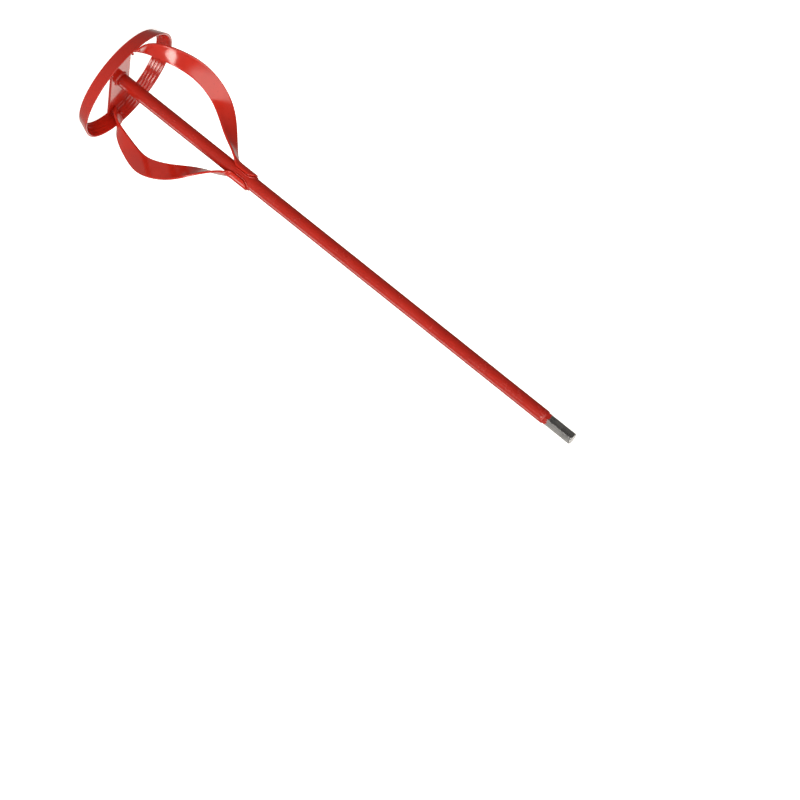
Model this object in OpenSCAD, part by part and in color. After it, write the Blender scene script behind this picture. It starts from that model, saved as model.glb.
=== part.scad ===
// Mortar mixing paddle for a power drill.
// A round shaft with a hex shank carries two ribbon blades that curve down
// from the shaft into a flared ring, which a flat crossbar ties to the shaft.
// Millimetres. Origin at the centre of the ring's foot, +Z up along the shaft,
// +X along the crossbar. Everything is one rigid weldment.

/* [Overall] */
// Length from the foot of the ring to the tip of the shank
total_l = 500; // [360:10:600]

/* [Shaft] */
// Outer diameter of the shaft tube
shaft_d = 12; // [12:0.5:14]
// Wall thickness of the shaft tube
shaft_wall = 2; // [1.5:0.25:2.5]

/* [Hex shank] */
// Width across the flats of the shank
shank_af = 10; // [8:0.5:10]
// Length of shank standing out of the shaft tube
shank_l = 30; // [20:1:40]
// Length of the round spigot inside the shaft tube
spigot_l = 25; // [10:1:40]
// Chamfer at the tip of the shank
shank_chamfer = 1; // [0.5:0.25:1.5]

/* [Ring] */
// Outer diameter of the ring at its foot
ring_foot_d = 100; // [96:1:102]
// Outer diameter of the ring at its top edge
ring_top_d = 110; // [108:1:114]
// Height of the ring
ring_h = 12.5; // [11:0.5:13]
// Thickness of the ring band
ring_t = 2; // [1.5:0.25:2.5]

/* [Crossbar] */
// Width of the crossbar
bar_w = 24; // [18:1:28]
// Thickness of the crossbar
bar_t = 2.5; // [2:0.25:2.5]

/* [Blades] */
// Width of each ribbon blade
blade_w = 16; // [13:0.5:17]
// Thickness of each ribbon blade
blade_t = 2; // [1.5:0.25:2]
// Height of the rounded top end of the blade lugs
lug_top = 150; // [146:1:156]
// Turn of the lugs about the shaft, from the line across the crossbar
lug_turn = 22; // [18:1:26]

/* [Welds] */
// Size of the fillet at the foot of the shaft
foot_leg = 3; // [2:0.25:4]
// Width of the bead over the seam of the ring
seam_w = 4; // [3:0.5:6]

/* [Hidden] */
enamel = [0.74, 0.17, 0.12];
enamel_shade = [0.66, 0.13, 0.09];
steel = [0.66, 0.67, 0.68];
weld_red = [0.60, 0.12, 0.09];
ring_slope = (ring_top_d - ring_foot_d) / 2 / ring_h;
ring_in_r = ring_foot_d / 2 - ring_t;
shaft_r = shaft_d / 2;
shaft_top = total_l - shank_l;
lug_r = shaft_r + blade_t / 2 + 0.15;
edge = 0.4;
lug_x = -lug_r * sin(lug_turn);
lug_y = lug_r * cos(lug_turn);
// Route of one blade: x, y, z of its centre line, the twist of its flat,
// and how far it is rolled to the curve of the shaft (1 is a full saddle)
blade_route = [
  [lug_x, lug_y, 138, 90, 1],
  [lug_x, lug_y + 0.1, 131.5, 90, 1],
  [-2.6, 8, 126, 93, 0.15],
  [-2, 12.5, 119, 78, 0],
  [-3, 21.3, 107.5, 43, 0],
  [-11, 34, 90, 12, 0],
  [-22, 38, 72, 3, 0],
  [-35.5, 34.5, 56, 6, 0],
  [-44, 27.5, 40, 6, 0],
  [-46, 21, 24, -4, 0],
  [-44.8, 14, 13, -22, 0],
  [-45.5, 5, 7.7, -39, 0]];
route_n = len(blade_route);
steps = 5;

// Smooth curve through the route (each value eased between its neighbours)
function ease(a, b, c, d, t) = 0.5 * (2 * b + (c - a) * t
  + (2 * a - 5 * b + 4 * c - d) * t * t + (3 * b - a - 3 * c + d) * t * t * t);
function pick(i) = i < 0 ? [lug_x, lug_y, 146, 90, 1]
  : i > route_n - 1 ? 2 * blade_route[route_n - 1] - blade_route[route_n - 2]
  : blade_route[i];
function along(i, t) = [for (k = [0:4])
  ease(pick(i - 1)[k], pick(i)[k], pick(i + 1)[k], pick(i + 2)[k], t)];
function xyz(s) = [s[0], s[1], s[2]];
function unit(v) = v / norm(v);

// Stations: rounded lug end first, then the curve; x, y, z, twist, roll, width
lug_cz = lug_top - blade_w / 2;
lug_part = [for (a = [75:-15:0])
  [lug_x, lug_y, lug_cz + blade_w / 2 * sin(a), 90, 1, blade_w * cos(a)]];
curve_part = [for (i = [0:route_n - 2], j = [0:steps - 1])
  let (s = along(i, j / steps))
  [s[0], s[1], s[2], s[3], max(0, min(1, s[4])), blade_w]];
last_s = blade_route[route_n - 1];
stations = concat(lug_part, curve_part, [concat(last_s, [blade_w])]);
st_n = len(stations);

// Direction of travel at a station
function travel(i) = i < len(lug_part) ? [0, 0, -1]
  : i == st_n - 1 ? [0, -1, 0]
  : unit(xyz(stations[i + 1]) - xyz(stations[i - 1]));
// Direction of the ribbon's width at a station
function outward(i) = unit([stations[i][0], stations[i][1], 0]);
function across(i) = let (t = travel(i), o = outward(i),
    n1 = unit(o - (o * t) * t), n2 = cross(t, n1), b = stations[i][3])
  cos(b) * n1 + sin(b) * n2;
// Outline of the ribbon's section: distance along the width, and depth
face_n = 6;
function outline(w) = let (x = w / 2, y = blade_t / 2, c = min(edge, w / 6))
  concat([[x, -y + c], [x, y - c]],
    [for (k = [0:face_n]) [(x - c) * (1 - 2 * k / face_n), y]],
    [[-x, y - c], [-x, -y + c]],
    [for (k = [face_n:-1:0]) [(x - c) * (1 - 2 * k / face_n), -y]]);
// A point of the section, rolled towards the shaft
function rolled(q, roll) = roll < 0.01 ? q
  : let (r = lug_r / roll, a = q[0] / r * 180 / PI)
  [(r - q[1]) * sin(a), r - (r - q[1]) * cos(a)];
function slice_at(i) = let (w = across(i), n = cross(travel(i), w))
  [for (p = outline(stations[i][5])) let (q = rolled(p, stations[i][4]))
    xyz(stations[i]) + q[0] * w + q[1] * n];

// Closed skin over slices of m points each
module skin(slices) {
  m = len(slices[0]);
  n = len(slices);
  last = (n - 1) * m;
  // Each end is closed by a row of small quads, so no triangle in it is flat
  caps = [for (j = [0:m / 2 - 2], h = [0, 1])
    let (a = j + 1, b = j + 2, c = m - j - 1, d = (m - j) % m)
    each (h == 0 ? [[d, a, b], [d, b, c]]
      : [[last + b, last + a, last + d], [last + c, last + b, last + d]])];
  sides = [for (i = [0:n - 2], k = [0:m - 1], h = [0, 1])
    let (a = i * m + k, b = i * m + (k + 1) % m)
    h == 0 ? [a, a + m, b + m] : [a, b + m, b]];
  polyhedron(points = [for (s = slices) each s],
    faces = concat(caps, sides), convexity = 6);
}

module ribbon() {
  skin([for (i = [0:st_n - 1]) slice_at(i)]);
}

// Shaft: a plain round tube that stands on the crossbar
module shaft_tube() {
  color(enamel)
  difference() {
    translate([0, 0, bar_t])
    cylinder(d = shaft_d, h = shaft_top - bar_t, $fn = 96);
    translate([0, 0, bar_t - 1])
    cylinder(d = shaft_d - 2 * shaft_wall, h = shaft_top, $fn = 96);
  }
}

// Shank: a hex bar with a chamfered tip and a round spigot in the tube
module hex_shank() {
  hex_r = shank_af / 2 / cos(30);
  color(steel)
  union() {
    translate([0, 0, shaft_top - spigot_l])
    cylinder(d = shaft_d - 2 * shaft_wall, h = spigot_l + 1, $fn = 96);
    intersection() {
      translate([0, 0, shaft_top])
      cylinder(r = hex_r, h = shank_l, $fn = 6);
      union() {
        translate([0, 0, shaft_top - 1])
        cylinder(r = hex_r + 1, h = shank_l - shank_chamfer + 1, $fn = 96);
        translate([0, 0, total_l - shank_chamfer])
        cylinder(r1 = hex_r, r2 = hex_r - shank_chamfer, h = shank_chamfer, $fn = 96);
      }
    }
  }
}

// Ring: a flared band of constant thickness with eased edges
module ring() {
  lift = ring_slope * ring_h;
  color(enamel_shade)
  rotate_extrude($fn = 180)
  polygon([[ring_in_r + edge, 0], [ring_in_r + ring_t - edge, 0],
    [ring_in_r + ring_t + ring_slope * edge, edge],
    [ring_in_r + ring_t + lift - ring_slope * edge, ring_h - edge],
    [ring_in_r + ring_t + lift - edge, ring_h],
    [ring_in_r + lift + edge, ring_h],
    [ring_in_r + lift - ring_slope * edge, ring_h - edge],
    [ring_in_r + ring_slope * edge, edge]]);
}

// Space inside the ring, as a solid that its inner face bounds
module ring_inside(low, high) {
  translate([0, 0, low])
  cylinder(r1 = ring_in_r + ring_slope * low, r2 = ring_in_r + ring_slope * high,
    h = high - low, $fn = 180);
}

// Crossbar: a flat bar across the foot of the ring
module crossbar() {
  color(enamel_shade)
  intersection() {
    translate([-ring_foot_d / 2 - 3, -bar_w / 2, 0])
    cube([ring_foot_d + 6, bar_w, bar_t]);
    ring_inside(0, bar_t);
  }
}

module blade_a() {
  color(enamel)
  ribbon();
}

module blade_b() {
  color(enamel)
  rotate([0, 0, 180])
  ribbon();
}

// Weld collar where the shank enters the tube
module shank_weld() {
  color(weld_red)
  difference() {
    translate([0, 0, shaft_top])
    cylinder(r1 = shaft_r - 0.05, r2 = shank_af / 2 + 0.45, h = 1.5, $fn = 96);
    translate([0, 0, shaft_top - 1])
    cylinder(r = shank_af / 2 / cos(30), h = 4, $fn = 6);
  }
}

// Fillet weld around the foot of the shaft
module foot_weld() {
  color(weld_red)
  rotate_extrude($fn = 96)
  polygon([[shaft_r, bar_t], [shaft_r + foot_leg, bar_t],
    [shaft_r + foot_leg * 0.6, bar_t + foot_leg * 0.35],
    [shaft_r + foot_leg * 0.35, bar_t + foot_leg * 0.6],
    [shaft_r, bar_t + foot_leg]]);
}

// Bead over the butt seam of the ring, on its outer face
module ring_seam_weld() {
  color(weld_red)
  rotate([0, 0, 35])
  intersection() {
    difference() {
      translate([0, 0, 0.5])
      cylinder(r1 = ring_in_r + ring_t + 0.8, h = ring_h - 1,
        r2 = ring_in_r + ring_t + 0.8 + ring_slope * (ring_h - 1), $fn = 180);
      cylinder(r1 = ring_in_r + ring_t, h = ring_h,
        r2 = ring_in_r + ring_t + ring_slope * ring_h, $fn = 180);
    }
    translate([0, -seam_w / 2, 0])
    cube([ring_top_d, seam_w, ring_h]);
  }
}

// Route of the bead round a lug, as it would lie unrolled: along, height
bead_off = blade_w / 2 + 0.95;
bead_route = concat(
  [for (z = [131, 134.5, 138]) [bead_off, z]],
  [for (a = [0:12:180]) [bead_off * cos(a), lug_cz + bead_off * sin(a)]],
  [for (z = [138, 134.5, 131]) [-bead_off, z]]);
// Bead section: distance across the bead, and height over the shaft
bead_form = [[-0.9, 0.05], [0.9, 0.05], [0.8, 0.5], [0.4, 0.9], [-0.4, 1], [-0.8, 0.7]];
function bead_side(i) = let (n = len(bead_route),
    t = unit(bead_route[min(i + 1, n - 1)] - bead_route[max(i - 1, 0)]))
  [t[1], -t[0]];
function bead_slice(i) = [for (q = bead_form)
  let (p = bead_route[i] + q[0] * bead_side(i),
    a = 90 + lug_turn - p[0] / lug_r * 180 / PI, r = shaft_r + q[1])
  [r * cos(a), r * sin(a), p[1]]];

// Fillet bead round the edge of a lug, on the shaft
module lug_weld() {
  color(weld_red)
  skin([for (i = [0:len(bead_route) - 1]) bead_slice(i)]);
}

module lug_weld_a() {
  lug_weld();
}

module lug_weld_b() {
  rotate([0, 0, 180])
  lug_weld();
}

// Bead along the cut end of a blade, from the crossbar up to the ring
module blade_foot_weld() {
  color(weld_red)
  intersection() {
    translate([last_s[0], last_s[1], last_s[2]])
    rotate([0, 90 - 39, 0])
    translate([0, 0, -14])
    cylinder(d = 5, h = 28, $fn = 48);
    translate([-70, last_s[1] - 4, bar_t])
    cube([70, 4, ring_h - bar_t - 1]);
    ring_inside(bar_t, ring_h);
  }
}

module blade_foot_weld_a() {
  blade_foot_weld();
}

module blade_foot_weld_b() {
  rotate([0, 0, 180])
  blade_foot_weld();
}

// Fillet weld across one end of the crossbar, in the corner with the ring
module crossbar_weld() {
  color(weld_red)
  intersection() {
    difference() {
      ring_inside(bar_t, bar_t + 2.2);
      translate([0, 0, bar_t - 1])
      cylinder(r1 = ring_in_r - 3.3, r2 = ring_in_r + 1.4, h = 4.2, $fn = 180);
    }
    translate([ring_in_r - 10, -9, bar_t])
    cube([14, 18, 3]);
  }
}

module crossbar_weld_a() {
  rotate([0, 0, 180])
  crossbar_weld();
}

module crossbar_weld_b() {
  crossbar_weld();
}

shaft_tube();
hex_shank();
ring();
crossbar();
blade_a();
blade_b();
shank_weld();
foot_weld();
ring_seam_weld();
lug_weld_a();
lug_weld_b();
blade_foot_weld_a();
blade_foot_weld_b();
crossbar_weld_a();
crossbar_weld_b();
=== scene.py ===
"""Visual model of a welded mortar mixing paddle in glossy red enamel.

Lengths are in millimetres until a mesh is made; Blender's scene is in metres.
Row frame: origin at the centre of the ring's foot, +Z up the shaft, +X along
the crossbar. Every piece is built over its CAD node and replaces it.
"""
import math

import bmesh
import bpy
import numpy as np
from mathutils import Matrix, Vector


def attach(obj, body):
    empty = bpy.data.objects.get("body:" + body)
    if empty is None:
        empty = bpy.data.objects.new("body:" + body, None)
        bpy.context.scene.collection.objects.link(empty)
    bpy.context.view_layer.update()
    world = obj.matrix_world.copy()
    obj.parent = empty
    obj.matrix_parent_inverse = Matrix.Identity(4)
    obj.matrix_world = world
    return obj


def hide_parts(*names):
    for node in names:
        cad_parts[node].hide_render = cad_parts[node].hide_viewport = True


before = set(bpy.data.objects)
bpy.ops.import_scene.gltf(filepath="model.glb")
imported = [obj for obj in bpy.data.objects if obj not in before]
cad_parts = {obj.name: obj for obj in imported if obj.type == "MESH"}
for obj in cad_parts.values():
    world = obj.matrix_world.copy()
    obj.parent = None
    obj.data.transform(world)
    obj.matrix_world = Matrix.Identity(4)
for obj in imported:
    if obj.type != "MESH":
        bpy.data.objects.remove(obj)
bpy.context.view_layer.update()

MM = 0.001

# Sizes shared with the CAD model
SHAFT_R = 6.0
BORE_R = 4.0
SHAFT_TOP = 470.0
SHANK_TIP = 500.0
SHANK_FLAT_R = 5.0
SPIGOT_FOOT = 445.0
RING_IN_R = 48.0
RING_T = 2.0
RING_H = 12.5
RING_SLOPE = 0.4
BAR_W = 24.0
BAR_T = 2.5
BLADE_W = 16.0
BLADE_T = 2.0
LUG_TOP = 150.0
LUG_TURN = 22.0
LUG_R = SHAFT_R + BLADE_T / 2 + 0.15
SEAM_TURN = 35.0

# Details of the visual model
BLADE_EDGE_R = 0.55
TUBE_EASE = 0.5
SHANK_CORNER_R = 5.66
SPIGOT_GAP = 0.03
# Height, depth and half-width of each chuck mark
CHUCK_MARKS = [(489.0, 0.05, 0.6), (483.5, 0.04, 0.45), (494.0, 0.05, 0.5)]
RIDGE_HEIGHTS = (2.6, 5.2, 7.8, 10.4)
RIDGE_DEPTH = 0.16
RIDGE_SPREAD = 0.5
BEAD_POINTS = 15
BEAD_BASE = (-0.9, -0.3, 0.3, 0.9)
LUG_BEAD_R = 0.95
LUG_BEAD_FOOT = 131
SEAM_BEAD_HALF = 1.9
FOOT_BEAD_R = 1.3
FOOT_BEAD_LEAN = 51
BAR_BEAD_TURN = 10.6
SHAFT_FOOT_LEG = 1.3
SHAFT_FOOT_RIPPLES = 32
SHANK_BEAD_H = 1.5
SHANK_BEAD_RIPPLES = 26

# Camera: a long lens, rolled so that the shaft runs down to the right
LENS = 213.3
CAM_TARGET = (0.045, -0.050, 0.361)
CAM_DISTANCE = 3.95
CAM_AZIMUTH = 293.54
CAM_ELEVATION = 12.64
CAM_ROLL = 128.8


# ---------------------------------------------------------------- geometry

def outline(width, thick, radius, n_face=14, n_arc=4):
    """Section of a rounded strip: pairs (along the width, through the thickness)."""
    r = min(radius, 0.45 * width, 0.49 * thick)
    x = width / 2 - r
    y = thick / 2 - r
    turns = [math.radians(90 * k / n_arc) for k in range(n_arc + 1)]
    right = [(x + r * math.cos(a), y + r * math.sin(a)) for a in turns]
    flat = [(x * (1 - 2 * k / n_face), thick / 2) for k in range(1, n_face)]
    left = [(-px, py) for px, py in reversed(right)]
    top = right + flat + left
    return top + [(px, -py) for px, py in reversed(top)]


def strip_end(first, count):
    """Quads that close a loop made of two matching halves."""
    last = first + count - 1
    return [(first + j, first + j + 1, last - j - 1, last - j)
            for j in range(count // 2 - 1)]


def fan_end(first, count, centre):
    """Triangles from a loop to a centre vertex."""
    return [(first + k, first + (k + 1) % count, centre) for k in range(count)]


def loft(name, rows, ends="strip"):
    """Object over rows of closed loops. ends is strip, fan, or wrap for a closed hoop."""
    rows = np.asarray(rows, dtype=float)
    n, m = rows.shape[:2]
    verts = [tuple(v) for v in rows.reshape(-1, 3) * MM]
    faces = []
    spans = n if ends == "wrap" else n - 1
    for i in range(spans):
        a = i * m
        b = ((i + 1) % n) * m
        faces += [(a + k, a + (k + 1) % m, b + (k + 1) % m, b + k) for k in range(m)]
    if ends == "strip":
        faces += strip_end(0, m) + strip_end((n - 1) * m, m)
    if ends == "fan":
        verts += [tuple(rows[0].mean(axis=0) * MM), tuple(rows[-1].mean(axis=0) * MM)]
        faces += fan_end(0, m, n * m) + fan_end((n - 1) * m, m, n * m + 1)
    mesh = bpy.data.meshes.new(name)
    mesh.from_pydata(verts, [], faces)
    work = bmesh.new()
    work.from_mesh(mesh)
    bmesh.ops.recalc_face_normals(work, faces=work.faces)
    work.to_mesh(mesh)
    work.free()
    mesh.shade_smooth()
    piece = bpy.data.objects.new(name, mesh)
    bpy.context.scene.collection.objects.link(piece)
    return piece


def lathe(name, profile, segments, bump):
    """Hoop turned round Z from a closed profile of (radius, height), moved by bump."""
    rows = []
    for k in range(segments):
        a = 2 * math.pi * k / segments
        row = []
        for r, z in profile:
            dr, dz = bump(a, r, z)
            row.append(((r + dr) * math.cos(a), (r + dr) * math.sin(a), z + dz))
        rows.append(row)
    return loft(name, rows, ends="wrap")


def turned(rows, degrees):
    """The same rows turned about Z."""
    a = math.radians(degrees)
    spin = np.array([[math.cos(a), math.sin(a), 0],
                     [-math.sin(a), math.cos(a), 0],
                     [0, 0, 1]])
    return np.asarray(rows, dtype=float) @ spin


def unit(v):
    """The vector v at a length of one."""
    v = np.asarray(v, dtype=float)
    return v / np.linalg.norm(v)


def smooth_step(t):
    """Eases t from 0 to 1, level at both ends."""
    t = min(max(t, 0.0), 1.0)
    return t * t * (3 - 2 * t)


# ------------------------------------------------------------------- blades

LUG_X = -LUG_R * math.sin(math.radians(LUG_TURN))
LUG_Y = LUG_R * math.cos(math.radians(LUG_TURN))
LUG_CZ = LUG_TOP - BLADE_W / 2

# Route of a blade: x, y, z of its centre line, twist of its flat in degrees,
# and how far it is rolled to the curve of the shaft (1 is a full saddle)
BLADE_ROUTE = [
    (LUG_X, LUG_Y, 138, 90, 1),
    (LUG_X, LUG_Y + 0.1, 131.5, 90, 1),
    (-2.6, 8, 126, 93, 0.15),
    (-2, 12.5, 119, 78, 0),
    (-3, 21.3, 107.5, 43, 0),
    (-11, 34, 90, 12, 0),
    (-22, 38, 72, 3, 0),
    (-35.5, 34.5, 56, 6, 0),
    (-44, 27.5, 40, 6, 0),
    (-46, 21, 24, -4, 0),
    (-44.8, 14, 13, -22, 0),
    (-45.5, 5, 7.7, -39, 0),
]
ROUTE_LEAD_Z = 146
BLADE_STEPS = 10
LUG_STATIONS = 22
LUG_TIP_TURN = 86
# Smoothing leaves the lug, the first 25 stations of the route and the last as they are
SMOOTH_PASSES = 30
SMOOTH_FROM = LUG_STATIONS + 25


def route_row(i):
    """A row of the blade's route, with one more beyond each end."""
    if i < 0:
        return np.array((LUG_X, LUG_Y, ROUTE_LEAD_Z, 90, 1), dtype=float)
    last = np.array(BLADE_ROUTE[-1], dtype=float)
    if i >= len(BLADE_ROUTE):
        return 2 * last - np.array(BLADE_ROUTE[-2], dtype=float)
    return np.array(BLADE_ROUTE[i], dtype=float)


def eased(i, t):
    """Smooth curve through the route, between rows i and i + 1."""
    a, b, c, d = (route_row(i + k) for k in (-1, 0, 1, 2))
    return 0.5 * (2 * b + (c - a) * t + (2 * a - 5 * b + 4 * c - d) * t ** 2
                  + (3 * b - a - 3 * c + d) * t ** 3)


def blade_stations():
    """Rows of x, y, z, twist, roll and width, from the lug's tip to the foot."""
    rows = []
    for k in range(LUG_STATIONS):
        a = math.radians(LUG_TIP_TURN * (1 - k / LUG_STATIONS))
        z = LUG_CZ + BLADE_W / 2 * math.sin(a)
        rows.append((LUG_X, LUG_Y, z, 90, 1, BLADE_W * math.cos(a)))
    for i in range(len(BLADE_ROUTE) - 1):
        for j in range(BLADE_STEPS):
            x, y, z, twist, roll = eased(i, j / BLADE_STEPS)
            rows.append((x, y, z, twist, min(max(roll, 0), 1), BLADE_W))
    rows.append(BLADE_ROUTE[-1] + (BLADE_W,))
    rows = np.array(rows, dtype=float)
    for _ in range(SMOOTH_PASSES):
        before = rows[SMOOTH_FROM - 1:-2]
        after = rows[SMOOTH_FROM + 1:]
        rows[SMOOTH_FROM:-1] = 0.25 * before + 0.5 * rows[SMOOTH_FROM:-1] + 0.25 * after
    return rows


def rolled(s, d, roll):
    """A point of the section, rolled towards the shaft."""
    if roll < 0.01:
        return s, d
    r = LUG_R / roll
    return (r - d) * math.sin(s / r), r - (r - d) * math.cos(s / r)


def blade_rows():
    """Sections of a blade, set across its route from the lug's tip to the foot."""
    stations = blade_stations()
    rows = []
    for i, st in enumerate(stations):
        if i < LUG_STATIONS:
            travel = np.array((0.0, 0.0, -1.0))
        elif i == len(stations) - 1:
            travel = np.array((0.0, -1.0, 0.0))
        else:
            travel = unit(stations[i + 1][:3] - stations[i - 1][:3])
        out = unit((st[0], st[1], 0))
        n1 = unit(out - out.dot(travel) * travel)
        n2 = np.cross(travel, n1)
        twist = math.radians(st[3])
        width_dir = math.cos(twist) * n1 + math.sin(twist) * n2
        depth_dir = np.cross(travel, width_dir)
        row = []
        for s, d in outline(st[5], BLADE_T, BLADE_EDGE_R):
            u, v = rolled(s, d, st[4])
            row.append(st[:3] + u * width_dir + v * depth_dir)
        rows.append(row)
    return rows


def make_blade(name, degrees):
    """One ribbon blade, turned about the shaft."""
    return loft(name, turned(blade_rows(), degrees))


# --------------------------------------------------------- shaft and shank

def make_shaft():
    """Drawn tube with eased ends, open at the top round the shank's spigot."""
    outer = [(SHAFT_R - TUBE_EASE, BAR_T), (SHAFT_R, BAR_T + TUBE_EASE)]
    outer += [(SHAFT_R, z) for z in np.linspace(8, SHAFT_TOP - 3, 150)]
    top = [(SHAFT_R - TUBE_EASE + TUBE_EASE * math.cos(a),
            SHAFT_TOP - TUBE_EASE + TUBE_EASE * math.sin(a))
           for a in np.radians([0, 22, 45, 67, 90])]
    inner = [(BORE_R + 0.3, SHAFT_TOP), (BORE_R, SHAFT_TOP - 0.3), (BORE_R, BAR_T)]

    def draw_marks(a, r, z):
        if r < SHAFT_R - 0.6:
            return 0.0, 0.0
        wave = 0.6 * math.sin(0.061 * z + 2 * a) + 0.4 * math.sin(0.17 * z - 3 * a + 1.0)
        return 0.025 * wave, 0.0

    return lathe("shaft", outer + top + inner, 96, draw_marks)


def shank_radius(angle, limit):
    """Radius of a hex bar with turned-down corners."""
    turn = (angle + math.pi / 6) % (math.pi / 3) - math.pi / 6
    flat = SHANK_FLAT_R / math.cos(turn)
    sharp = 9.0
    blend = math.exp(-sharp * flat) + math.exp(-sharp * (limit + 0.04))
    return -math.log(blend) / sharp


def make_shank():
    """Hex bar with a chamfered tip, faint chuck marks round it and a round spigot."""
    count = 180
    angles = [2 * math.pi * k / count for k in range(count)]
    levels = []
    for z in (SPIGOT_FOOT, SPIGOT_FOOT + 0.6, SHAFT_TOP - 0.8):
        levels.append((z, [BORE_R - SPIGOT_GAP] * count))
    for z in np.linspace(SHAFT_TOP - 0.4, SHANK_TIP - 1.2, 84):
        nick = sum(depth * math.exp(-((z - at) / spread) ** 2)
                   for at, depth, spread in CHUCK_MARKS)
        levels.append((z, [shank_radius(a, SHANK_CORNER_R) - nick for a in angles]))
    # The chamfer, 1 mm high, and then rings that close the tip
    for k in range(9):
        z = SHANK_TIP - 1 + k / 8
        limit = SHANK_CORNER_R - 0.9 * (k / 8) - 0.15 * (k / 8) ** 4
        levels.append((z, [shank_radius(a, limit) for a in angles]))
    for r in (4.2, 3.2, 2.0, 0.8):
        levels.append((SHANK_TIP, [r] * count))
    rows = [[(r * math.cos(a), r * math.sin(a), z) for r, a in zip(radii, angles)]
            for z, radii in levels]
    return loft("shank", rows, ends="fan")


# --------------------------------------------------------- ring and crossbar

def make_ring():
    """Flared band with rounded rims and faint rolled ridges on its inner face."""
    profile = []
    for along, through in outline(RING_H, RING_T, 0.8, n_face=44, n_arc=6):
        z = RING_H / 2 + along
        ridge = sum(math.exp(-((z - c) / RIDGE_SPREAD) ** 2) for c in RIDGE_HEIGHTS)
        depth = -RIDGE_DEPTH * ridge if through < -0.8 else 0.0
        profile.append((RING_IN_R + RING_T / 2 + RING_SLOPE * z + through + depth, z))

    def hand_work(a, r, z):
        lift = z / RING_H
        radial = 0.07 * math.sin(3 * a + 0.6) + 0.04 * math.sin(7 * a + 2.0)
        rim = 0.05 * math.sin(5 * a + 1.0) + 0.03 * math.sin(11 * a)
        return radial * lift, rim * lift ** 2

    return lathe("ring_band", profile, 300, hand_work)


def make_crossbar():
    """Flat bar with rounded edges, cut to the curve of the ring at both ends."""
    rows = []
    for u in np.linspace(-1, 1, 121):
        row = []
        for y, d in outline(BAR_W, BAR_T, 0.7, n_face=24):
            z = BAR_T / 2 + d
            reach = math.sqrt((RING_IN_R + RING_SLOPE * z + 0.1) ** 2 - y ** 2)
            sag = 0.03 * math.sin(5 * u) * math.cos(0.2 * y) if d > 0 else 0.0
            row.append((u * reach, y, z + sag))
        rows.append(row)
    return loft("crossbar_plate", rows)


# ------------------------------------------------------------------- welds

def ripple(along, across, pitch):
    """Height of a weld's crescent ripples, from 0 to 1."""
    phase = 2 * math.pi * (along / pitch + 0.35 * across ** 2)
    return 0.5 + 0.5 * math.sin(phase)


def bead_section(half_width, height, along, pitch):
    """Top of a bead: pairs (across, height), lowest at both sides."""
    pairs = []
    for k in range(BEAD_POINTS):
        a = math.pi * k / (BEAD_POINTS - 1)
        across = math.cos(a)
        crown = math.sin(a) * height
        crown *= 0.84 + 0.16 * ripple(along, across, pitch)
        pairs.append((half_width * across, crown))
    return pairs


def taper(t):
    """Swell of a bead from its start to its end."""
    return 0.55 + 0.45 * smooth_step(t / 0.12) * smooth_step((1 - t) / 0.12)


def lug_weld_rows():
    """Bead round a lug's edge, laid on the shaft."""
    offset = BLADE_W / 2 + LUG_BEAD_R
    path = [(offset, z) for z in np.linspace(LUG_BEAD_FOOT, LUG_CZ - 0.3, 40)]
    path += [(offset * math.cos(a), LUG_CZ + offset * math.sin(a))
             for a in np.linspace(0, math.pi, 100)]
    path += [(-offset, z) for z in np.linspace(LUG_CZ - 0.3, LUG_BEAD_FOOT, 40)]
    path = np.array(path)
    run = np.concatenate([[0], np.cumsum(np.linalg.norm(np.diff(path, axis=0), axis=1))])
    rows = []
    for i, p in enumerate(path):
        ahead = unit(path[min(i + 1, len(path) - 1)] - path[max(i - 1, 0)])
        side = np.array((ahead[1], -ahead[0]))
        size = taper(run[i] / run[-1])
        pairs = bead_section(LUG_BEAD_R * size, LUG_BEAD_R * size, run[i], 1.35)
        low = [(LUG_BEAD_R * size * k, -0.15) for k in BEAD_BASE]
        row = []
        for across, height in pairs + low:
            q = p + across * side
            a = math.radians(90 + LUG_TURN) - q[0] / LUG_R
            r = SHAFT_R + height
            row.append((r * math.cos(a), r * math.sin(a), q[1]))
        rows.append(row)
    return rows


def foot_weld_rows():
    """Half-round bead along a blade's cut end, between the bar and the ring."""
    start = np.array(BLADE_ROUTE[-1][:3])
    lean = math.radians(FOOT_BEAD_LEAN)
    ahead = np.array((math.sin(lean), 0, math.cos(lean)))
    side = np.array((math.cos(lean), 0, -math.sin(lean)))
    out = np.array((0, -1.0, 0))
    first, length = -5.1, 9.0
    rows = []
    for t in np.linspace(0, 1, 64):
        run = first + length * t
        size = FOOT_BEAD_R * taper(t)
        row = []
        for across, height in bead_section(size, 1.25 * size, run, 1.6):
            row.append(start + run * ahead + across * side + height * out)
        for k in (-0.8, -0.25, 0.25, 0.8):
            row.append(start + run * ahead + size * k * side - 0.4 * out)
        rows.append(row)
    return rows


def bar_weld_rows():
    """Fillet in the corner between the crossbar's top and the ring."""
    wall = RING_IN_R + RING_SLOPE * BAR_T
    rows = []
    for t in np.linspace(0, 1, 110):
        a = math.radians(-BAR_BEAD_TURN + 2 * BAR_BEAD_TURN * t)
        size = taper(t)
        row = []
        for k in range(13):
            f = k / 12
            along = wall * a
            lump = 0.82 + 0.18 * ripple(along, 2 * f - 1, 1.5)
            bulge = 0.35 * math.sin(math.pi * f) * size * lump
            r = wall - 3.0 * size * (1 - f) + 0.8 * f - 0.6 * bulge
            z = BAR_T - 0.15 + 2.2 * size * f + bulge
            row.append((r * math.cos(a), r * math.sin(a), z))
        row.append(((wall + 0.9) * math.cos(a), (wall + 0.9) * math.sin(a), BAR_T - 0.4))
        row.append(((wall - 1.2) * math.cos(a), (wall - 1.2) * math.sin(a), BAR_T - 0.4))
        rows.append(row)
    return rows


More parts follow.
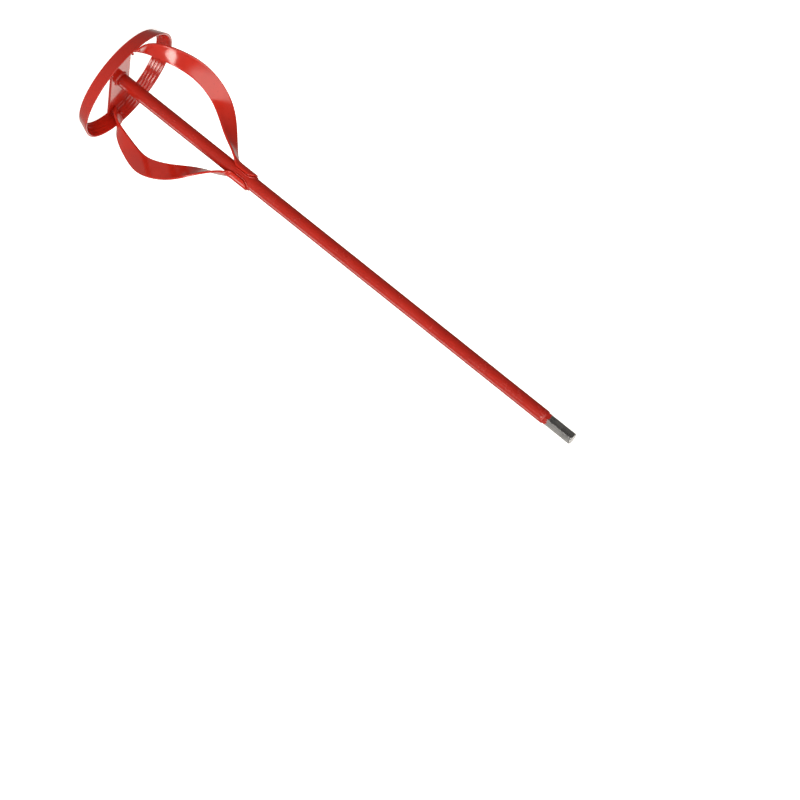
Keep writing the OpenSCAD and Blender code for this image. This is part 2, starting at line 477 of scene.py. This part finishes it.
def seam_weld_rows():
    """Flat bead over the ring's butt seam, on the outer face."""
    rows = []
    for t in np.linspace(0, 1, 60):
        z = 0.6 + (RING_H - 1.2) * t
        face = RING_IN_R + RING_T + RING_SLOPE * z
        size = taper(t)
        row = []
        for across, height in bead_section(SEAM_BEAD_HALF * size, 0.75 * size, z, 1.3):
            row.append((face + height, across, z))
        for k in BEAD_BASE:
            row.append((face - 0.3, SEAM_BEAD_HALF * size * k, z))
        rows.append(row)
    return turned(rows, SEAM_TURN)


def make_shaft_foot_weld():
    """Rippled fillet round the foot of the shaft."""
    leg = SHAFT_FOOT_LEG
    mid_r = 7.5
    pitch = 2 * math.pi * mid_r / SHAFT_FOOT_RIPPLES
    profile = [(SHAFT_R - 0.4, BAR_T - 0.3), (SHAFT_R + leg * 0.9, BAR_T - 0.3)]
    for k in range(13):
        f = k / 12
        bulge = 0.28 * math.sin(math.pi * f)
        profile.append((SHAFT_R + leg * (1 - f) ** 1.35 + bulge,
                        BAR_T + leg * f ** 1.35 + bulge))
    profile.append((SHAFT_R - 0.4, BAR_T + leg))

    def ripples(a, r, z):
        if r < SHAFT_R + 0.1 or z < BAR_T:
            return 0.0, 0.0
        lump = ripple(mid_r * a, (z - BAR_T) / leg * 2 - 1, pitch) - 0.5
        return 0.1 * lump, 0.1 * lump

    return lathe("weld_shaft_foot", profile, 256, ripples)


def make_shank_weld():
    """Narrow rippled collar where the shank enters the tube."""
    mid_r = 5.8
    pitch = 2 * math.pi * mid_r / SHANK_BEAD_RIPPLES
    profile = [(4.6, SHAFT_TOP - 0.3), (5.7, SHAFT_TOP - 0.3)]
    for k in range(9):
        f = k / 8
        profile.append((5.93 - 0.75 * f ** 1.6, SHAFT_TOP + SHANK_BEAD_H * f))
    profile.append((4.6, SHAFT_TOP + 1.3))

    def ripples(a, r, z):
        if r < 5.0 or z < SHAFT_TOP:
            return 0.0, 0.0
        lump = ripple(mid_r * a, 2 * (z - SHAFT_TOP) / SHANK_BEAD_H - 1, pitch) - 0.5
        return 0.1 * lump, 0.08 * lump

    return lathe("weld_shank", profile, 208, ripples)


# ---------------------------------------------------------------- materials

class Nodes:
    """Short helpers over one material's node tree."""

    def __init__(self, name):
        self.material = bpy.data.materials.new(name)
        self.material.use_nodes = True
        self.tree = self.material.node_tree
        self.shader = self.tree.nodes["Principled BSDF"]
        self.place = self.tree.nodes.new("ShaderNodeTexCoord").outputs["Object"]

    def new(self, kind, **values):
        """A new node with its properties set."""
        node = self.tree.nodes.new(kind)
        for key, value in values.items():
            setattr(node, key, value)
        return node

    def link(self, a, b):
        self.tree.links.new(a, b)

    def noise(self, scale, detail, rough=0.55, stretch=(1, 1, 1)):
        """Noise over the piece, from 0 to 1; stretch scales it along each axis."""
        mapping = self.new("ShaderNodeMapping")
        mapping.inputs["Scale"].default_value = stretch
        node = self.new("ShaderNodeTexNoise")
        node.inputs["Scale"].default_value = scale
        node.inputs["Detail"].default_value = detail
        node.inputs["Roughness"].default_value = rough
        self.link(self.place, mapping.inputs["Vector"])
        self.link(mapping.outputs["Vector"], node.inputs["Vector"])
        return node.outputs["Fac"]

    def ramp(self, value, low, high, from_value=0.0, to_value=1.0):
        """Eases value from its range low to high into from_value to to_value."""
        node = self.new("ShaderNodeMapRange")
        node.interpolation_type = "SMOOTHSTEP"
        node.inputs["From Min"].default_value = low
        node.inputs["From Max"].default_value = high
        node.inputs["To Min"].default_value = from_value
        node.inputs["To Max"].default_value = to_value
        self.link(value, node.inputs["Value"])
        return node.outputs["Result"]

    def colour_mix(self, fac, a, b):
        """Mixes a and b, each a colour or another node's output."""
        node = self.new("ShaderNodeMix", data_type="RGBA")
        self.link(fac, node.inputs["Factor"])
        for socket, value in ((node.inputs["A"], a), (node.inputs["B"], b)):
            if isinstance(value, tuple):
                socket.default_value = (*value, 1)
            else:
                self.link(value, socket)
        return node.outputs["Result"]

    def bump(self, height, distance, strength, after=None):
        """Bump of distance metres, on top of the one in after."""
        node = self.new("ShaderNodeBump")
        node.inputs["Strength"].default_value = strength
        node.inputs["Distance"].default_value = distance
        self.link(height, node.inputs["Height"])
        if after is not None:
            self.link(after, node.inputs["Normal"])
        return node.outputs["Normal"]


def enamel(name, thick, thin, gloss, peel):
    """Glossy paint: thin and thick patches, orange peel and fine rubbed marks."""
    n = Nodes(name)
    cloud = n.ramp(n.noise(26, 4), 0.35, 0.68)
    fleck = n.ramp(n.noise(420, 2), 0.62, 0.74)
    base = n.colour_mix(cloud, thick, thin)
    darker = tuple(0.72 * c for c in thick)
    coloured = n.colour_mix(n.ramp(fleck, 0, 1, 0, 0.35), base, darker)
    n.link(coloured, n.shader.inputs["Base Color"])
    rub = n.noise(90, 5, 0.6)
    n.link(n.ramp(rub, 0.3, 0.75, gloss - 0.05, gloss + 0.1), n.shader.inputs["Roughness"])
    n.shader.inputs["IOR"].default_value = 1.5
    n.shader.inputs["Coat Weight"].default_value = 0.35
    n.shader.inputs["Coat Roughness"].default_value = 0.06
    soft = n.bump(n.noise(160, 2), 0.00022 * peel, 0.5)
    fine = n.bump(n.noise(620, 2), 0.00005 * peel, 0.5, soft)
    n.link(fine, n.shader.inputs["Normal"])
    return n.material


def shank_steel(name, paint):
    """Satin steel with lengthwise drawing lines, and paint at the foot of the bar."""
    n = Nodes(name)
    split = n.new("ShaderNodeSeparateXYZ")
    n.link(n.place, split.inputs["Vector"])
    ragged = n.new("ShaderNodeMath", operation="MULTIPLY_ADD")
    n.link(n.noise(330, 4), ragged.inputs[0])
    ragged.inputs[1].default_value = 0.006
    n.link(split.outputs["Z"], ragged.inputs[2])
    bare = n.ramp(ragged.outputs["Value"], 0.4772, 0.4776)
    lines = n.noise(900, 3, 0.6, stretch=(1, 1, 0.02))
    cloud = n.noise(120, 4)
    steel = n.colour_mix(n.ramp(lines, 0.3, 0.7), (0.42, 0.42, 0.43), (0.58, 0.58, 0.58))
    stained = n.colour_mix(n.ramp(cloud, 0.55, 0.8), steel, (0.28, 0.26, 0.24))
    n.link(n.colour_mix(bare, paint, stained), n.shader.inputs["Base Color"])
    n.link(bare, n.shader.inputs["Metallic"])
    worn = n.ramp(cloud, 0.3, 0.7, 0.26, 0.42)
    n.link(worn, n.shader.inputs["Roughness"])
    n.link(n.bump(lines, 0.00003, 0.6), n.shader.inputs["Normal"])
    return n.material


def floor_paint(name):
    """Plain pale studio floor with a barely visible mottle."""
    n = Nodes(name)
    mottle = n.colour_mix(n.noise(0.8, 3), (0.90, 0.90, 0.885), (0.92, 0.92, 0.91))
    n.link(mottle, n.shader.inputs["Base Color"])
    n.shader.inputs["Roughness"].default_value = 0.9
    n.shader.inputs["Specular IOR Level"].default_value = 0.1
    n.shader.inputs["Emission Color"].default_value = (1, 1, 0.975, 1)
    n.shader.inputs["Emission Strength"].default_value = 0.8
    return n.material


# ------------------------------------------------------------------- scene

def direction(azimuth, elevation):
    """Unit vector from the object towards a point of the studio."""
    a = math.radians(azimuth)
    e = math.radians(elevation)
    return Vector((math.sin(a) * math.cos(e), -math.cos(a) * math.cos(e), math.sin(e)))


def make_camera():
    """Camera on CAM_TARGET, turned about its own axis by CAM_ROLL."""
    back = direction(CAM_AZIMUTH, CAM_ELEVATION)
    a = math.radians(CAM_AZIMUTH)
    level = Vector((math.cos(a), math.sin(a), 0))
    upright = back.cross(level)
    r = math.radians(CAM_ROLL)
    right = level * math.cos(r) + upright * math.sin(r)
    up = back.cross(right)
    data = bpy.data.cameras.new("camera")
    data.lens = LENS
    data.sensor_width = 36
    data.clip_end = 200
    cam = bpy.data.objects.new("camera", data)
    bpy.context.scene.collection.objects.link(cam)
    turn = Matrix((right, up, back)).transposed().to_4x4()
    cam.matrix_world = Matrix.Translation(Vector(CAM_TARGET) + back * CAM_DISTANCE) @ turn
    bpy.context.scene.camera = cam


def make_floor():
    """Wide pale floor, left out of reflections and bounce light. It blocks no light, so
    the lamp below it reaches the paddle."""
    size = 80.0
    mesh = bpy.data.meshes.new("floor")
    corners = [(-size, -size, 0), (size, -size, 0), (size, size, 0), (-size, size, 0)]
    mesh.from_pydata(corners, [], [(0, 1, 2, 3)])
    mesh.materials.append(floor_paint("studio_floor"))
    floor = bpy.data.objects.new("floor", mesh)
    bpy.context.scene.collection.objects.link(floor)
    floor.visible_glossy = False
    floor.visible_diffuse = False
    floor.visible_shadow = False


def make_softbox(name, azimuth, elevation, distance, power):
    """Square studio light that faces the paddle's lower part and isn't reflected in it."""
    side = 2.5
    aim = Vector((0, 0, 0.15))
    data = bpy.data.lights.new(name, "AREA")
    data.shape = "RECTANGLE"
    data.size = side
    data.size_y = side
    data.energy = power
    lamp = bpy.data.objects.new(name, data)
    bpy.context.scene.collection.objects.link(lamp)
    back = direction(azimuth, elevation)
    lamp.location = aim + back * distance
    lamp.rotation_mode = "QUATERNION"
    lamp.rotation_quaternion = (-back).to_track_quat("-Z", "Y")
    lamp.visible_glossy = False


class Surroundings:
    """The studio as the object sees it: brightness by direction, in the world shader."""

    def __init__(self):
        world = bpy.data.worlds.new("studio")
        world.use_nodes = True
        bpy.context.scene.world = world
        self.tree = world.node_tree
        self.shade = self.tree.nodes["Background"]
        self.shade.inputs["Color"].default_value = (1, 0.96, 0.89, 1)
        self.place = self.tree.nodes.new("ShaderNodeTexCoord").outputs["Generated"]
        self.total = None

    def add(self, value):
        """Adds a brightness to what is there already."""
        if self.total is None:
            self.total = value
            return
        both = self.tree.nodes.new("ShaderNodeMath")
        both.operation = "ADD"
        self.tree.links.new(self.total, both.inputs[0])
        self.tree.links.new(value, both.inputs[1])
        self.total = both.outputs["Value"]

    def panel(self, azimuth, elevation, inner, outer, level, rest=0.0):
        """Soft round panel, full within inner degrees and gone beyond outer degrees."""
        dot = self.tree.nodes.new("ShaderNodeVectorMath")
        dot.operation = "DOT_PRODUCT"
        dot.inputs[1].default_value = direction(azimuth, elevation)
        self.tree.links.new(self.place, dot.inputs[0])
        fade = self.tree.nodes.new("ShaderNodeMapRange")
        fade.interpolation_type = "SMOOTHSTEP"
        fade.inputs["From Min"].default_value = math.cos(math.radians(outer))
        fade.inputs["From Max"].default_value = math.cos(math.radians(inner))
        fade.inputs["To Min"].default_value = rest
        fade.inputs["To Max"].default_value = level
        self.tree.links.new(dot.outputs["Value"], fade.inputs["Value"])
        self.add(fade.outputs["Result"])

    def light(self):
        """Lights the world by the sum of the panels."""
        self.tree.links.new(self.total, self.shade.inputs["Strength"])


def make_world():
    """A wide dim wash, the floor's glow, two broad panels behind the paddle, a high key
    panel, three small bright ones and one softer one, placed for where highlights fall."""
    room = Surroundings()
    left = CAM_AZIMUTH + 91
    far = CAM_AZIMUTH + 180
    room.panel(left, -5, 20, 130, 0.28, 0.10)
    room.panel(0, -90, 20, 75, 0.12)
    room.panel(far, 34, 26, 44, 0.9)
    room.panel(far, -12, 15, 40, 0.35)
    room.panel(CAM_AZIMUTH + 4, 49, 19, 27, 2.4)
    room.panel(CAM_AZIMUTH + 68, 24, 6, 10.5, 11)
    room.panel(CAM_AZIMUTH + 38, 4, 6, 11, 11)
    room.panel(CAM_AZIMUTH - 10, 4, 3, 6, 11)
    room.panel(left + 8, -17, 6, 13, 3.0)
    room.light()


def make_studio():
    """Camera, floor, world and fill lights."""
    bpy.context.scene.view_settings.view_transform = "Standard"
    make_camera()
    make_floor()
    make_world()
    make_softbox("front_fill", CAM_AZIMUTH + 30, 25, 3.0, 8)
    make_softbox("right_fill", CAM_AZIMUTH - 65, 15, 3.0, 16)
    # This one stands below the floor, in place of light thrown up from it
    make_softbox("floor_bounce", CAM_AZIMUTH + 10, -50, 2.5, 22)


def finish_piece(piece, material, slot, *nodes):
    """Paints a piece and puts it on the body in place of its CAD nodes."""
    piece.data.materials.append(material)
    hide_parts(*nodes)
    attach(piece, "root")


make_studio()

shaft_red = (0.42, 0.015, 0.007)
shaft_paint = enamel("shaft_enamel", shaft_red, (0.48, 0.019, 0.009), 0.2, 0.6)
ring_paint = enamel("ring_enamel", (0.49, 0.016, 0.007), (0.56, 0.021, 0.010), 0.12, 0.5)
blade_paint = enamel("blade_enamel", (0.53, 0.018, 0.008), (0.60, 0.024, 0.011), 0.16, 0.8)
weld_paint = enamel("weld_enamel", (0.42, 0.014, 0.007), (0.50, 0.019, 0.010), 0.22, 1.6)
steel = shank_steel("shank_steel", shaft_red)

finish_piece(make_shaft(), shaft_paint, "shaft_enamel", "shaft_tube")
finish_piece(make_shank(), steel, "shank_steel", "hex_shank")
finish_piece(make_ring(), ring_paint, "ring_enamel", "ring")
finish_piece(make_crossbar(), ring_paint, "ring_enamel", "crossbar")
finish_piece(make_blade("blade_left", 0), blade_paint, "blade_enamel", "blade_a")
finish_piece(make_blade("blade_right", 180), blade_paint, "blade_enamel", "blade_b")
finish_piece(make_shank_weld(), weld_paint, "weld_enamel", "shank_weld")
finish_piece(make_shaft_foot_weld(), weld_paint, "weld_enamel", "foot_weld")
finish_piece(loft("weld_ring_seam", seam_weld_rows(), "fan"), weld_paint, "weld_enamel",
             "ring_seam_weld")
for side, degrees, letter in (("left", 0, "a"), ("right", 180, "b")):
    lug = loft("weld_lug_" + side, turned(lug_weld_rows(), degrees), "fan")
    finish_piece(lug, weld_paint, "weld_enamel", "lug_weld_" + letter)
    foot = loft("weld_blade_foot_" + side, turned(foot_weld_rows(), degrees), "fan")
    finish_piece(foot, weld_paint, "weld_enamel", "blade_foot_weld_" + letter)
    bar = loft("weld_bar_" + side, turned(bar_weld_rows(), degrees + 180), "fan")
    finish_piece(bar, weld_paint, "weld_enamel", "crossbar_weld_" + letter)
